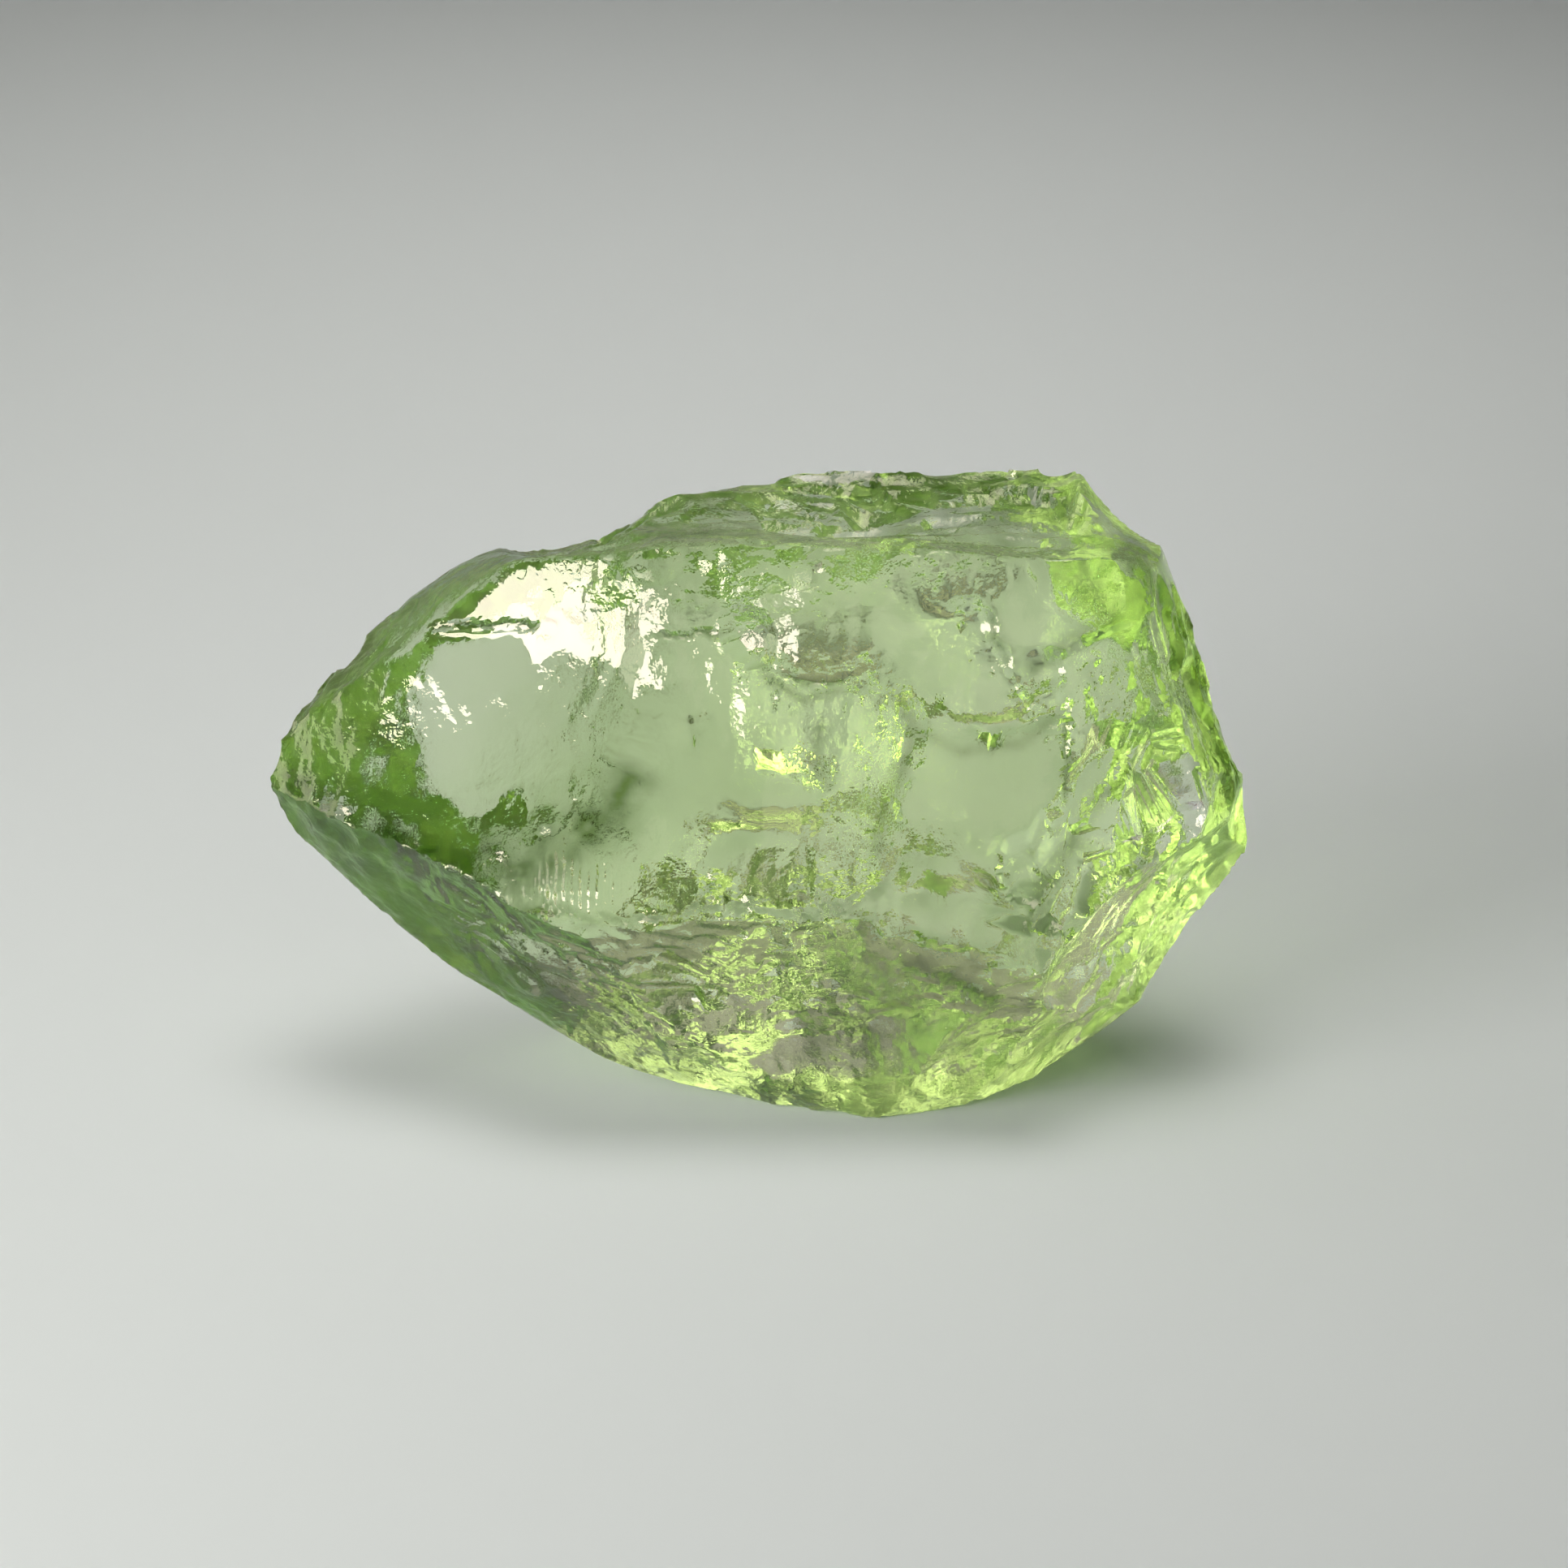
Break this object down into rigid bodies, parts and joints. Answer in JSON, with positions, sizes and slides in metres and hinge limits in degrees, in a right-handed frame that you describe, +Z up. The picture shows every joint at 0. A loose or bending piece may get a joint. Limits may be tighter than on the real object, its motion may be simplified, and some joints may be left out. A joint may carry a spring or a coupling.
{
  "type": "rough tourmaline",
  "caption": "Loose fragment of clear green tourmaline rough with shell-shaped fracture faces, resting on a flat broken foot.",
  "frame": {"origin": "on the surface the stone rests on, under the middle of its bounding box", "axes": "+X along the stone's length towards its blunt end, +Y from the broad face towards the back, +Z up"},
  "size_m": [0.0128, 0.0068, 0.0074],
  "materials": {
    "tourmaline": "natural glassy fracture, clear pale yellow-green"
  },
  "bodies": {
    "root": {"tourmaline": "tourmaline"}
  },
  "joints": []
}
